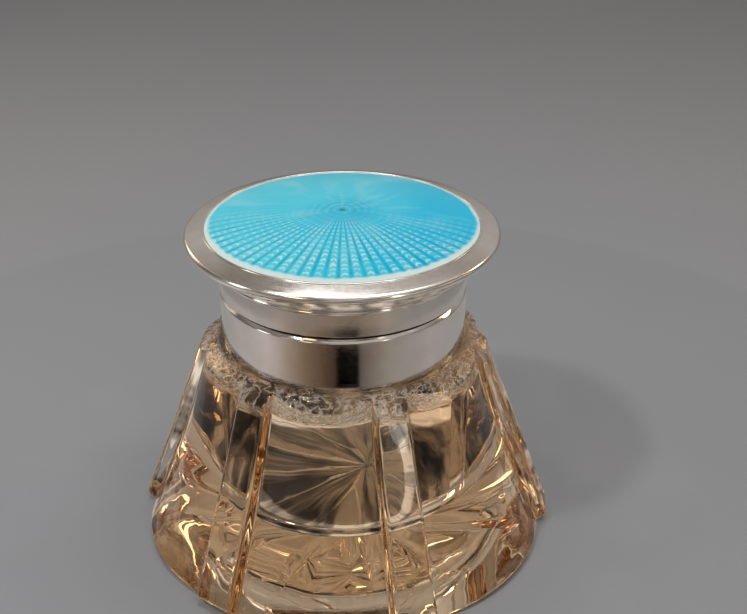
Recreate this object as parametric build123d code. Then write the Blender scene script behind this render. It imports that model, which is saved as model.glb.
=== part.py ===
from build123d import *

import math
import os

# A free-standing inkwell: a flared cut-glass well on a round foot, a silver collar cemented
# round its neck, and a hinged silver lid that carries a domed disc of translucent enamel.
# Millimetres. Z is up, the origin is at the middle of the foot's underside, -Y is the front
# and the lid's hinge is at the back, on +Y.

# ---- Driving dimensions: cut-glass body ------------------------------------------------------
# Middle lines of the six ribs, in degrees from the front: cut by eye, so not quite evenly apart.
RIB_AZIMUTHS = [-29.5, 25.0, 91.0, 150.0, 210.0, 270.5]

# Cross-sections of the flare, from the foot up: height, radius at the middle of a wide panel,
# radius of the groove between two panels, outer radius of a rib, width of a rib.
FLARE = [
    (0.0, 40.2, 38.2, 41.2, 8.2),
    (20.2, 31.9, 29.7, 33.3, 7.0),
    (42.3, 25.5, 22.6, 25.3, 5.9),
]
RIB_ROOT_RADIUS = 12.0                   # the ribs start this far in, well inside the panels
FOOT_RADIUS = 38.6                       # where the foot's bevel meets the table
FOOT_BEVEL_RADIUS = 40.4
FOOT_BEVEL_HEIGHT = 1.8

SEAT_RADIUS = 22.9                       # flat ring of glass that the collar stands on
SEAT_HEIGHT = 39.9
SHOULDER_RADIUS = 28.6                   # the shoulder falls from the seat to this circle
SHOULDER_HEIGHT = 35.5
SHOULDER_CROWN_RADIUS = 26.1
SHOULDER_CROWN_HEIGHT = 38.2

NECK_RADIUS = 20.5
NECK_TOP = 48.2
MOUTH_RADIUS = 16.4
WELL_SHOULDER_HEIGHT = 35.3              # the well is at its full width below this height
WELL_TOP_RADIUS = 18.6
WELL_RADIUS = 20.0
WELL_FLOOR = 6.8
WELL_CORNER = 4.2

STAR_POINTS = 12
STAR_RADIUS = 24.0
STAR_DEPTH = 0.6                         # depth and half width of a groove at the hub
STAR_HALF_WIDTH = 1.8
STAR_TIP_SHARE = 0.06                    # share of both that is left at a groove's tip
STAR_HUB_RADIUS = 0.6

# ---- Driving dimensions: collar --------------------------------------------------------------
COLLAR_RADIUS = 22.6
SHEET = 0.6                              # thickness of the silver sheet
RIM_RING_BOTTOM = 49.2
RIM_RING_TOP = 49.9
RIM_RING_BEVEL = 0.55
RIM_RING_MOUTH = 18.9
CEMENT_BOTTOM = 40.4

# ---- Driving dimensions: lid -----------------------------------------------------------------
SEAM = 0.4                               # gap between the closed lid and the collar
SKIRT_BOTTOM = RIM_RING_TOP + SEAM
SKIRT_TOP = 55.4
BEAD_RADIUS = 0.36
FLANGE_RADIUS = 28.35
FLANGE_EDGE_HEIGHT = 60.2
FLANGE_EDGE_RADIUS = 0.75
FLANGE_TOP_RADIUS = 27.7
FLANGE_TOP_HEIGHT = 60.95
FLANGE_COVE_RADIUS = 25.3                # the cove under the flange passes through this point
FLANGE_COVE_HEIGHT = 57.2
FLANGE_UNDER_RADIUS = 28.0
FLANGE_UNDER_HEIGHT = 59.5
FLANGE_THICKNESS = 0.7

BEZEL_LEDGE = 23.7
BEZEL_INNER = 24.72
BEZEL_OUTER = 25.1
BEZEL_BOTTOM = 59.9
BEZEL_TOP = 61.8
BEZEL_MEET_HEIGHT = 61.6                 # the flange's top slope meets the bezel here

DISC_RADIUS = 24.65
DISC_EDGE_HEIGHT = 61.65                 # top of the enamel at its edge
DISC_APEX_HEIGHT = 64.0                  # top of the enamel at its middle
ENAMEL_THICKNESS = 0.45
PLATE_THICKNESS = 0.6

LINER_SHEET = 0.5
LINER_FLANGE_HEIGHT = 50.9
LOCATING_RADIUS = 18.5
LOCATING_THICKNESS = 0.6
LOCATING_BOTTOM = 48.65
LINER_CROWN_HEIGHT = 57.9
LINER_SHOULDER_HEIGHT = 55.7

# ---- Driving dimensions: hinge ---------------------------------------------------------------
HINGE_Y = 24.3
HINGE_Z = 50.05
KNUCKLE_RADIUS = 1.45
KNUCKLE_BORE = 0.65
PIN_RADIUS = 0.6
PIN_HEAD_RADIUS = 0.95
PIN_HEAD_LENGTH = 0.35
MIDDLE_KNUCKLE = 4.8                     # length of the lid's knuckle
KNUCKLE_GAP = 0.2
HINGE_LENGTH = 15.0
LEAF_WIDTH = 13.0
LEAF_THICKNESS = 0.6
COLLAR_LEAF_BOTTOM = 45.5
COLLAR_LEAF_TOP = 48.3
LID_LEAF_BOTTOM = 52.0
LID_LEAF_TOP = 54.4
WEB_TOP = 52.7                           # top of the web that joins the lid's leaf and knuckle
WEB_SEAM = 0.1                           # the web starts this far above the lid's lower edge

OVERCUT = 1.0                            # cutters run this far past what they cut


def turned(points):
    """Solid turned about Z from a closed outline of (radius, height) points."""
    return revolve(make_face(Plane.XZ * Polyline(*points, close=True)), Axis.Z)


def turned_ring(inner, outer, bottom, top):
    return turned([(inner, bottom), (outer, bottom), (outer, top), (inner, top)])


def on_circle(radius, azimuth):
    """Point of the XY plane at an azimuth counted from the front, -Y, towards +X."""
    angle = math.radians(azimuth)
    return (radius * math.sin(angle), -radius * math.cos(angle))


# ---- Cut-glass body --------------------------------------------------------------------------
def panel_section(height, middle_radius, groove_radius):
    """Outline of the wide panels at one height: a shallow convex arc for each panel."""
    arcs = []
    for first, last in zip(RIB_AZIMUTHS, RIB_AZIMUTHS[1:] + [RIB_AZIMUTHS[0] + 360]):
        start = on_circle(groove_radius, first)
        crown = on_circle(middle_radius, (first + last) / 2)
        end = on_circle(groove_radius, last)
        arcs.append(ThreePointArc(start, crown, end))
    return Plane.XY.offset(height) * make_face(arcs)


def rib_section(height, outer_radius, width):
    """Rectangle of one rib that points to the front, from its root to its flat face."""
    depth = outer_radius - RIB_ROOT_RADIUS
    middle = (outer_radius + RIB_ROOT_RADIUS) / 2
    return Plane.XY.offset(height) * Pos(0, -middle) * Rectangle(width, depth)


def flared_body():
    """Six convex panels that flare to the foot, with a flat-faced rib over every groove."""
    panels = loft([panel_section(row[0], row[1], row[2]) for row in FLARE])
    rib = loft([rib_section(row[0], row[3], row[4]) for row in FLARE])
    body = panels
    for azimuth in RIB_AZIMUTHS:
        body += Rot(0, 0, azimuth) * rib
    return body


def shoulder_envelope():
    """Turned shape that trims the flare: the foot's bevel below, the shoulder above."""
    outer = FLARE[0][3] + 2 * OVERCUT
    slope = (SHOULDER_HEIGHT - SHOULDER_CROWN_HEIGHT) / (SHOULDER_RADIUS - SHOULDER_CROWN_RADIUS)
    low = SHOULDER_HEIGHT + slope * (outer - SHOULDER_RADIUS)
    bevel_slope = FOOT_BEVEL_HEIGHT / (FOOT_BEVEL_RADIUS - FOOT_RADIUS)
    bevel_top = bevel_slope * (outer - FOOT_RADIUS)
    shoulder = ThreePointArc(
        (SHOULDER_RADIUS, SHOULDER_HEIGHT),
        (SHOULDER_CROWN_RADIUS, SHOULDER_CROWN_HEIGHT),
        (SEAT_RADIUS, SEAT_HEIGHT),
    )
    outline = [
        Line((0, 0), (FOOT_RADIUS, 0)),
        Line((FOOT_RADIUS, 0), (outer, bevel_top)),
        Line((outer, bevel_top), (outer, low)),
        Line((outer, low), (SHOULDER_RADIUS, SHOULDER_HEIGHT)),
        shoulder,
        Line((SEAT_RADIUS, SEAT_HEIGHT), (0, SEAT_HEIGHT)),
        Line((0, SEAT_HEIGHT), (0, 0)),
    ]
    return revolve(make_face([Plane.XZ * edge for edge in outline]), Axis.Z)


def well_cavity():
    """Space for the ink: straight mouth, sloping shoulder, wide well with a rounded corner."""
    outline = [
        Line((0, NECK_TOP + OVERCUT), (0, WELL_FLOOR)),
        Line((0, WELL_FLOOR), (WELL_RADIUS - WELL_CORNER, WELL_FLOOR)),
        RadiusArc(
            (WELL_RADIUS - WELL_CORNER, WELL_FLOOR),
            (WELL_RADIUS, WELL_FLOOR + WELL_CORNER),
            -WELL_CORNER,
        ),
        Line((WELL_RADIUS, WELL_FLOOR + WELL_CORNER), (WELL_TOP_RADIUS, WELL_SHOULDER_HEIGHT)),
        Line((WELL_TOP_RADIUS, WELL_SHOULDER_HEIGHT), (MOUTH_RADIUS, SEAT_HEIGHT)),
        Line((MOUTH_RADIUS, SEAT_HEIGHT), (MOUTH_RADIUS, NECK_TOP + OVERCUT)),
        Line((MOUTH_RADIUS, NECK_TOP + OVERCUT), (0, NECK_TOP + OVERCUT)),
    ]
    return revolve(make_face([Plane.XZ * edge for edge in outline]), Axis.Z)


def star_groove():
    """One V groove of the star cut under the foot, deepest at the hub, running out at its tip."""
    slope = STAR_DEPTH / STAR_HALF_WIDTH

    def section(distance, depth):
        plane = Plane(origin=(0, -distance, 0), x_dir=(1, 0, 0), z_dir=(0, -1, 0))
        half_width = (depth + OVERCUT) / slope
        corners = [(-half_width, -OVERCUT), (half_width, -OVERCUT), (0, depth)]
        return plane * make_face(Polyline(*corners, close=True))

    return loft([
        section(STAR_HUB_RADIUS, STAR_DEPTH),
        section(STAR_RADIUS, STAR_DEPTH * STAR_TIP_SHARE),
    ])


def glass_body():
    body = flared_body() & shoulder_envelope()
    body += turned_ring(0, NECK_RADIUS, SEAT_HEIGHT - OVERCUT, NECK_TOP)
    body -= well_cavity()
    groove = star_groove()
    for index in range(STAR_POINTS):
        body -= Rot(0, 0, (index + 0.5) * 360 / STAR_POINTS) * groove
    return body


# ---- Collar ----------------------------------------------------------------------------------
def neck_cement():
    """Plaster that bonds the collar to the glass and beds its rim ring on the neck's top."""
    inner = COLLAR_RADIUS - SHEET
    return turned([
        (NECK_RADIUS, CEMENT_BOTTOM), (inner, CEMENT_BOTTOM), (inner, RIM_RING_BOTTOM),
        (RIM_RING_MOUTH, RIM_RING_BOTTOM), (RIM_RING_MOUTH, NECK_TOP), (NECK_RADIUS, NECK_TOP),
    ])


def collar_band():
    return turned_ring(COLLAR_RADIUS - SHEET, COLLAR_RADIUS, SEAT_HEIGHT, RIM_RING_BOTTOM)


def collar_rim_ring():
    """Flat ring soldered on the band, bevelled outside, with the mouth the lid drops into."""
    return turned([
        (RIM_RING_MOUTH, RIM_RING_BOTTOM), (COLLAR_RADIUS, RIM_RING_BOTTOM),
        (COLLAR_RADIUS, RIM_RING_TOP - RIM_RING_BEVEL),
        (COLLAR_RADIUS - RIM_RING_BEVEL, RIM_RING_TOP), (RIM_RING_MOUTH, RIM_RING_TOP),
    ])


# ---- Lid -------------------------------------------------------------------------------------
def lid_skirt():
    """Upright band of the lid, with a fine half-round bead where the flange starts."""
    bead_bottom = SKIRT_TOP - 2 * BEAD_RADIUS
    inner = COLLAR_RADIUS - SHEET
    outline = [
        Line((inner, SKIRT_BOTTOM), (COLLAR_RADIUS, SKIRT_BOTTOM)),
        Line((COLLAR_RADIUS, SKIRT_BOTTOM), (COLLAR_RADIUS, bead_bottom)),
        ThreePointArc(
            (COLLAR_RADIUS, bead_bottom),
            (COLLAR_RADIUS + BEAD_RADIUS, SKIRT_TOP - BEAD_RADIUS),
            (COLLAR_RADIUS, SKIRT_TOP),
        ),
        Line((COLLAR_RADIUS, SKIRT_TOP), (inner, SKIRT_TOP)),
        Line((inner, SKIRT_TOP), (inner, SKIRT_BOTTOM)),
    ]
    return revolve(make_face([Plane.XZ * edge for edge in outline]), Axis.Z)


def lid_flange():
    """Spun overhanging flange: a cove below, a rolled edge, and a flat slope to the bezel."""
    inner = COLLAR_RADIUS - SHEET
    lining = FLANGE_THICKNESS
    outline = [
        ThreePointArc(
            (COLLAR_RADIUS, SKIRT_TOP),
            (FLANGE_COVE_RADIUS, FLANGE_COVE_HEIGHT),
            (FLANGE_UNDER_RADIUS, FLANGE_UNDER_HEIGHT),
        ),
        ThreePointArc(
            (FLANGE_UNDER_RADIUS, FLANGE_UNDER_HEIGHT),
            (FLANGE_RADIUS, FLANGE_EDGE_HEIGHT),
            (FLANGE_TOP_RADIUS, FLANGE_TOP_HEIGHT),
        ),
        Line((FLANGE_TOP_RADIUS, FLANGE_TOP_HEIGHT), (BEZEL_OUTER, BEZEL_MEET_HEIGHT)),
        Line((BEZEL_OUTER, BEZEL_MEET_HEIGHT), (BEZEL_OUTER, BEZEL_MEET_HEIGHT - lining)),
        Line(
            (BEZEL_OUTER, BEZEL_MEET_HEIGHT - lining),
            (FLANGE_UNDER_RADIUS - 2 * lining, FLANGE_UNDER_HEIGHT + lining),
        ),
        ThreePointArc(
            (FLANGE_UNDER_RADIUS - 2 * lining, FLANGE_UNDER_HEIGHT + lining),
            (FLANGE_COVE_RADIUS - lining, FLANGE_COVE_HEIGHT + lining),
            (inner, SKIRT_TOP),
        ),
        Line((inner, SKIRT_TOP), (COLLAR_RADIUS, SKIRT_TOP)),
    ]
    return revolve(make_face([Plane.XZ * edge for edge in outline]), Axis.Z)


def enamel_bezel():
    """Thin ring that holds the enamelled disc in the flange, with a ledge under the disc."""
    ledge_top = DISC_EDGE_HEIGHT - ENAMEL_THICKNESS - PLATE_THICKNESS
    return turned([
        (BEZEL_LEDGE, BEZEL_BOTTOM), (BEZEL_OUTER, BEZEL_BOTTOM), (BEZEL_OUTER, BEZEL_TOP),
        (BEZEL_INNER, BEZEL_TOP), (BEZEL_INNER, ledge_top), (BEZEL_LEDGE, ledge_top),
    ])


def dome_arc(apex_height, edge_radius, edge_height, outward=True):
    """Arc of a shallow dome centred on Z, from its apex to its edge or the other way."""
    rise = apex_height - edge_height
    dome_radius = (edge_radius ** 2 + rise ** 2) / (2 * rise)
    half = edge_radius / 2
    half_height = apex_height - dome_radius + math.sqrt(dome_radius ** 2 - half ** 2)
    apex = (0, apex_height)
    edge = (edge_radius, edge_height)
    if outward:
        return ThreePointArc(apex, (half, half_height), edge)
    return ThreePointArc(edge, (half, half_height), apex)


def dome_layer(top_offset, thickness):
    """Slice of the disc's dome, its top this far below the enamel's surface."""
    top = DISC_APEX_HEIGHT - top_offset
    edge_top = DISC_EDGE_HEIGHT - top_offset
    outline = [
        dome_arc(top, DISC_RADIUS, edge_top),
        Line((DISC_RADIUS, edge_top), (DISC_RADIUS, edge_top - thickness)),
        dome_arc(top - thickness, DISC_RADIUS, edge_top - thickness, outward=False),
        Line((0, top - thickness), (0, top)),
    ]
    return revolve(make_face([Plane.XZ * edge for edge in outline]), Axis.Z)


def enamel_disc():
    return dome_layer(0, ENAMEL_THICKNESS)


def guilloche_plate():
    return dome_layer(ENAMEL_THICKNESS, PLATE_THICKNESS)


def lid_liner():
    """Gilt dish inside the lid: a flange soldered in the skirt, and a shallow domed crown."""
    wall = LOCATING_RADIUS - LOCATING_THICKNESS
    outer_wall = wall + LINER_SHEET
    crown_top = LINER_CROWN_HEIGHT + LINER_SHEET
    shoulder_top = LINER_SHOULDER_HEIGHT + LINER_SHEET
    flange_top = LINER_FLANGE_HEIGHT + LINER_SHEET
    skirt_inner = COLLAR_RADIUS - SHEET
    outline = [
        Line((skirt_inner, LINER_FLANGE_HEIGHT), (wall, LINER_FLANGE_HEIGHT)),
        Line((wall, LINER_FLANGE_HEIGHT), (wall, LINER_SHOULDER_HEIGHT)),
        dome_arc(LINER_CROWN_HEIGHT, wall, LINER_SHOULDER_HEIGHT, outward=False),
        Line((0, LINER_CROWN_HEIGHT), (0, crown_top)),
        dome_arc(crown_top, outer_wall, shoulder_top),
        Line((outer_wall, shoulder_top), (outer_wall, flange_top)),
        Line((outer_wall, flange_top), (skirt_inner, flange_top)),
        Line((skirt_inner, flange_top), (skirt_inner, LINER_FLANGE_HEIGHT)),
    ]
    return revolve(make_face([Plane.XZ * edge for edge in outline]), Axis.Z)


def locating_ring():
    """Ring under the liner that drops into the collar's mouth and centres the lid."""
    inner = LOCATING_RADIUS - LOCATING_THICKNESS
    return turned_ring(inner, LOCATING_RADIUS, LOCATING_BOTTOM, LINER_FLANGE_HEIGHT)


# ---- Hinge -----------------------------------------------------------------------------------
def along_hinge(radius, start, end):
    """Cylinder on the hinge axis, from one X to another."""
    middle = (start + end) / 2
    turn_to_x = Rot(0, 90, 0)
    return Pos(middle, HINGE_Y, HINGE_Z) * turn_to_x * Cylinder(radius, end - start)


def curved_leaf(bottom, top):
    """Leaf soldered flat on the back of the band, as wide as LEAF_WIDTH."""
    ring = turned_ring(COLLAR_RADIUS, COLLAR_RADIUS + LEAF_THICKNESS, bottom, top)
    height = top - bottom
    window = Pos(0, COLLAR_RADIUS, bottom + height / 2) * Box(LEAF_WIDTH, COLLAR_RADIUS, height)
    return ring & window


def hinge_web(start, end, bottom, top):
    """Block between the band and the hinge axis, cut to the band's curve."""
    depth = HINGE_Y - COLLAR_RADIUS + OVERCUT
    middle_y = HINGE_Y - depth / 2
    block = Pos((start + end) / 2, middle_y, (bottom + top) / 2) * Box(end - start, depth, top - bottom)
    return block - Pos(0, 0, (bottom + top) / 2) * Cylinder(COLLAR_RADIUS, 2 * (top - bottom))


def knuckle_ends():
    """X of the two ends of each outer knuckle, left and right, and of the middle one."""
    near = MIDDLE_KNUCKLE / 2 + KNUCKLE_GAP
    far = HINGE_LENGTH / 2
    return {"left": (-far, -near), "right": (near, far), "middle": (-near + KNUCKLE_GAP, near - KNUCKLE_GAP)}


def hinge_knuckle(place):
    """Short length of tube; the pin runs through it."""
    low, high = knuckle_ends()[place]
    return along_hinge(KNUCKLE_RADIUS, low, high) - along_hinge(KNUCKLE_BORE, low, high)


def collar_hinge_leaf():
    """Leaf on the collar with the two webs that carry the outer knuckles."""
    near = knuckle_ends()["right"][0]
    leaf = curved_leaf(COLLAR_LEAF_BOTTOM, COLLAR_LEAF_TOP)
    for low, high in ((-LEAF_WIDTH / 2, -near), (near, LEAF_WIDTH / 2)):
        leaf += hinge_web(low, high, COLLAR_LEAF_TOP - LEAF_THICKNESS, RIM_RING_TOP)
    return leaf - along_hinge(KNUCKLE_RADIUS, -HINGE_LENGTH, HINGE_LENGTH)


def lid_hinge_leaf():
    """Leaf on the lid's skirt with the web that carries the middle knuckle."""
    low, high = knuckle_ends()["middle"]
    leaf = curved_leaf(LID_LEAF_BOTTOM, LID_LEAF_TOP)
    leaf += hinge_web(low, high, SKIRT_BOTTOM + WEB_SEAM, WEB_TOP)
    return leaf - along_hinge(KNUCKLE_RADIUS, -HINGE_LENGTH, HINGE_LENGTH)


def hinge_pin():
    """Pin with its two ends peened over the outer knuckles."""
    half = HINGE_LENGTH / 2
    pin = along_hinge(PIN_RADIUS, -half, half)
    for side in (-1, 1):
        low, high = sorted((side * half, side * (half + PIN_HEAD_LENGTH)))
        pin += along_hinge(PIN_HEAD_RADIUS, low, high)
    return pin


PARTS = {
    "glass_body": glass_body,
    "neck_cement": neck_cement,
    "collar_band": collar_band,
    "collar_rim_ring": collar_rim_ring,
    "collar_hinge_leaf": collar_hinge_leaf,
    "hinge_knuckle_left": lambda: hinge_knuckle("left"),
    "hinge_knuckle_right": lambda: hinge_knuckle("right"),
    "hinge_pin": hinge_pin,
    "lid_skirt": lid_skirt,
    "lid_flange": lid_flange,
    "enamel_bezel": enamel_bezel,
    "guilloche_plate": guilloche_plate,
    "enamel_disc": enamel_disc,
    "lid_liner": lid_liner,
    "locating_ring": locating_ring,
    "lid_hinge_leaf": lid_hinge_leaf,
    "hinge_knuckle_middle": lambda: hinge_knuckle("middle"),
}

os.makedirs("parts", exist_ok=True)
for name, make in PARTS.items():
    part = make()
    part.label = name
    export_step(part, f"parts/{name}.step")
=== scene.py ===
import math

import bmesh
import bpy
import numpy as np
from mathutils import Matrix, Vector, noise


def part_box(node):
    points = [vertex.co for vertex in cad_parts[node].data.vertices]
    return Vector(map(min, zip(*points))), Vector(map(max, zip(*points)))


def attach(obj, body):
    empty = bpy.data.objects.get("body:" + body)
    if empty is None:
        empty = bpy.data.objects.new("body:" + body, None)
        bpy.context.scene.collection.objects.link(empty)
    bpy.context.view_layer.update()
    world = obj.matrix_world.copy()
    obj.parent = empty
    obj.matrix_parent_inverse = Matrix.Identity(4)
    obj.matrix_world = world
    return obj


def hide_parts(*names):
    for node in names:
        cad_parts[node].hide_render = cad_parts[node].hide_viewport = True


# Looks of a silver-mounted cut-glass inkwell with an enamelled lid. The glass, silver, gilt and
# enamel pieces are built again as fine meshes in the frame's own places, with procedural
# materials. Shapes are worked out in millimetres, and MM turns them into the frame's metres.

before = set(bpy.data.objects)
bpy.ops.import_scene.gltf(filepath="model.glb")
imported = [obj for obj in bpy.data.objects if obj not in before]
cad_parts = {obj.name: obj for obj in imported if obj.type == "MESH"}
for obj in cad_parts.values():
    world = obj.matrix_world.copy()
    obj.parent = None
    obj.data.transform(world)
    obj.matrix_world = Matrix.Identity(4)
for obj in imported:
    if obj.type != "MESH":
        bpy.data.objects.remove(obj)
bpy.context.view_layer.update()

MM = 0.001
LATHE_SEGMENTS = 288
WAVER_SCALE = 0.16               # noise cells for each millimetre of a handmade surface
SHARP_DEGREES = 34

# ---- Glass body: the flare's sections, from the foot up --------------------------------------
# Height, radius at the middle of a panel, radius of the groove between two panels, outer radius
# of a rib, width of a rib.
FLARE = [
    (0.0, 40.2, 38.2, 41.2, 8.2),
    (20.2, 31.9, 29.7, 33.3, 7.0),
    (42.3, 25.5, 22.6, 25.3, 5.9),
]
RIB_DEGREES = [-29.5, 25.0, 91.0, 150.0, 210.0, 270.5]
RIB_CORNER = 0.9
RIB_FILLET = 0.5
FOOT_RADIUS = 38.6
FOOT_STEP = 0.5                  # least width of the foot's bevel
FOOT_ROUNDING = 0.45
SHOULDER = ((28.6, 35.5), (26.1, 38.2), (22.9, 39.9))
SHOULDER_ROUNDING = 0.55
NECK_RADIUS = 20.5
MOUTH_RADIUS = 16.4
WELL_TOP = (18.6, 35.3)
WELL_RADIUS = 20.0
WELL_FLOOR = 6.8
WELL_CORNER = 4.2
STAR_POINTS = 12
STAR_RADIUS = 24.0
STAR_DEPTH = 0.6                 # depth and half width of a groove at the hub
STAR_HALF_WIDTH = 1.8
STAR_TIP_SHARE = 0.06            # share of both that is left at a groove's tip

# ---- Lid -------------------------------------------------------------------------------------
SHEET = 0.6
BEAD_RADIUS = 0.36
FLANGE_COVE = (25.3, 57.2)
FLANGE_UNDER = (28.0, 59.5)
FLANGE_EDGE = (28.35, 60.2)
FLANGE_TOP = (27.7, 60.95)
FLANGE_LINING = 0.7
BEZEL_LEDGE = 23.7
ENAMEL_THICKNESS = 0.45
ENAMEL_EDGE_HEIGHT = 61.65
LINER_SHEET = 0.5
LINER_WALL = 17.9
LINER_SHOULDER = 55.7
RIM_MOUTH = 18.9
RIM_BEVEL = 0.55
RIM_DISH = 0.4                   # the ring is dished inside its rim, and the seam is dark there
SKIRT_LIFT = 0.2                 # worn off the skirt's lower edge

# ---- Engine turning under the enamel ---------------------------------------------------------
RAY_COUNT = 66
RAY_SLOPE = 0.09
PLAIN_RIM = 23.7                 # the turning stops here, and a plain ring meets the bezel
WAVE_PITCH = 1.35
WAVE_RAMP = 0.62                 # share of each ring's width that its long facet takes
WAVE_DEPTH = 0.06
WAVE_SWING = 0.30


# ==== Mesh helpers ============================================================================
def mesh_object(name, points, faces, sharp_degrees=SHARP_DEGREES):
    """Smooth-shaded closed mesh from points in millimetres, with its sharp edges kept."""
    mesh = bpy.data.meshes.new(name)
    mesh.from_pydata([tuple(Vector(point) * MM) for point in points], [], faces)
    work = bmesh.new()
    work.from_mesh(mesh)
    bmesh.ops.remove_doubles(work, verts=work.verts, dist=2e-7)
    bmesh.ops.recalc_face_normals(work, faces=work.faces)
    for face in work.faces:
        face.smooth = True
    work.to_mesh(mesh)
    work.free()
    mesh.set_sharp_from_angle(angle=math.radians(sharp_degrees))
    piece = bpy.data.objects.new(name, mesh)
    bpy.context.scene.collection.objects.link(piece)
    return piece


def fillet(before, corner, after, reach, steps):
    """Points that round a corner off, starting and ending a reach away from it."""
    before, corner, after = Vector(before), Vector(corner), Vector(after)
    back, on = before - corner, after - corner
    start = corner + back.normalized() * min(reach, back.length * 0.49)
    end = corner + on.normalized() * min(reach, on.length * 0.49)
    curve = []
    for index in range(steps + 1):
        t = index / steps
        curve.append(start * (1 - t) ** 2 + corner * (2 * t * (1 - t)) + end * t ** 2)
    return curve


def rounded(corners, closed=True, steps=5):
    """Outline through (radius, height, reach) corners, each rounded off by its own reach."""
    outline = []
    count = len(corners)
    for index, (radius, height, reach) in enumerate(corners):
        at_end = not closed and index in (0, count - 1)
        if reach <= 0 or at_end:
            outline.append(Vector((radius, height)))
            continue
        before = corners[index - 1][:2]
        after = corners[(index + 1) % count][:2]
        outline.extend(fillet(before, (radius, height), after, reach, steps))
    return outline


def arc_through(start, middle, end, steps):
    """Points of the circular arc through three points, both ends included."""
    a, b, c = (complex(*point) for point in (start, middle, end))
    w = (c - a) / (b - a)
    centre = a - (a - b) * (w - abs(w) ** 2) / (2j * w.imag)
    radius = abs(a - centre)
    first = math.atan2((a - centre).imag, (a - centre).real)
    last = math.atan2((c - centre).imag, (c - centre).real)
    via = math.atan2((b - centre).imag, (b - centre).real)
    turn = (last - first) % (2 * math.pi)
    if (via - first) % (2 * math.pi) > turn:
        turn -= 2 * math.pi
    spots = []
    for index in range(steps + 1):
        angle = first + turn * index / steps
        spots.append((centre.real + radius * math.cos(angle), centre.imag + radius * math.sin(angle)))
    return spots


def dome(apex, edge_radius, edge_height, steps):
    """Points of a shallow dome's arc, from its apex on the axis to its edge."""
    rise = apex - edge_height
    radius = (edge_radius ** 2 + rise ** 2) / (2 * rise)
    spots = []
    for index in range(steps + 1):
        out = edge_radius * index / steps
        spots.append((out, apex - radius + math.sqrt(radius ** 2 - out ** 2)))
    return spots


def column_faces(columns, rows, closed=True):
    """Faces between neighbouring columns of points that follow one another round an axis."""
    faces = []
    for column in range(columns):
        here = column * rows
        there = ((column + 1) % columns) * rows
        for row in range(rows if closed else rows - 1):
            above = (row + 1) % rows
            faces.append((here + row, there + row, there + above, here + above))
    return faces


def lathe(name, outline, segments=LATHE_SEGMENTS, waver=0.0):
    """Ring or disc turned about Z from a closed outline; waver is its handmade unevenness."""
    points = []
    for column in range(segments):
        angle = 2 * math.pi * column / segments
        away = Vector((math.cos(angle), math.sin(angle), 0))
        for radius, height in outline:
            spot = away * radius + Vector((0, 0, height))
            if radius > 0:
                spot += away * waver * noise.noise(spot * WAVER_SCALE)
            points.append(spot)
    return mesh_object(name, points, column_faces(segments, len(outline)))


def turned_extent(node):
    """(outer radius, lowest height, highest height) of a turned node, in millimetres."""
    low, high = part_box(node)
    return high.x / MM, low.z / MM, high.z / MM


# ==== Glass body ==============================================================================
PANEL_COLUMNS = 38
CORNER_STEPS = 5
SIDE_ROWS = 34
FLARE_LEVELS = 170
SHOULDER_ROWS = 9
GLASS_RIPPLE = 0.035             # unevenness of the faces where they are RIPPLE_REACH from the axis
RIPPLE_REACH = 30.0
RIPPLE_FROM = 0.6                # height below which the foot stays plane


def on_circle(radius, azimuth):
    """Point at an azimuth counted from the front, -Y, towards +X."""
    return Vector((radius * math.sin(azimuth), -radius * math.cos(azimuth)))


def flare_at(height):
    """Panel radius, groove radius, rib radius and rib width, on parabolas through FLARE."""
    (z0, *low), (z1, *middle), (z2, *high) = FLARE
    share0 = (height - z1) * (height - z2) / ((z0 - z1) * (z0 - z2))
    share1 = (height - z0) * (height - z2) / ((z1 - z0) * (z1 - z2))
    share2 = (height - z0) * (height - z1) / ((z2 - z0) * (z2 - z1))
    return [a * share0 + b * share1 + c * share2 for a, b, c in zip(low, middle, high)]


def panel_radius(azimuth, half, middle, groove):
    """Distance from the axis to a panel's shallow arc, at an azimuth from its middle line."""
    centre = (middle ** 2 - groove ** 2) / (2 * (middle - groove * math.cos(half)))
    arc = middle - centre
    return centre * math.cos(azimuth) + math.sqrt(arc ** 2 - (centre * math.sin(azimuth)) ** 2)


def panel_arc(first, last, sizes):
    """Points of the panel between two ribs' middle lines, from one rib's side to the next's."""
    middle, groove, _, width = sizes
    half = (last - first) / 2
    join = half
    for _ in range(5):
        join = half - math.asin(width / 2 / panel_radius(join, half, middle, groove))
    spots = []
    for step in range(PANEL_COLUMNS):
        azimuth = join * (2 * step / (PANEL_COLUMNS - 1) - 1)
        reach = panel_radius(azimuth, half, middle, groove)
        spots.append(on_circle(reach, (first + last) / 2 + azimuth))
    return spots


def flare_section(height):
    """Outline of the flare at one height, with the same number of points at every height."""
    sizes = flare_at(height)
    outer, width = sizes[2:]
    ribs = [math.radians(degrees) for degrees in RIB_DEGREES]
    panels = [
        panel_arc(first, last, sizes) for first, last in zip(ribs, ribs[1:] + [ribs[0] + 2 * math.pi])
    ]
    outline = []
    for index, azimuth in enumerate(ribs):
        before, after = panels[index - 1], panels[index]
        line = on_circle(1, azimuth)
        across = on_circle(1, azimuth + math.pi / 2)
        left = line * outer - across * width / 2
        right = line * outer + across * width / 2
        root, far_root = before[-1], after[0]
        outline.extend(fillet(before[-2], root, left, RIB_FILLET, CORNER_STEPS))
        outline.append((root + left) / 2)
        outline.extend(fillet(root, left, right, RIB_CORNER, CORNER_STEPS))
        outline.extend(left.lerp(right, share) for share in (0.3, 0.5, 0.7))
        outline.extend(fillet(left, right, far_root, RIB_CORNER, CORNER_STEPS))
        outline.append((far_root + right) / 2)
        outline.extend(fillet(right, far_root, after[1], RIB_FILLET, CORNER_STEPS))
        outline.extend(after[1:-1])
    return outline


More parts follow.
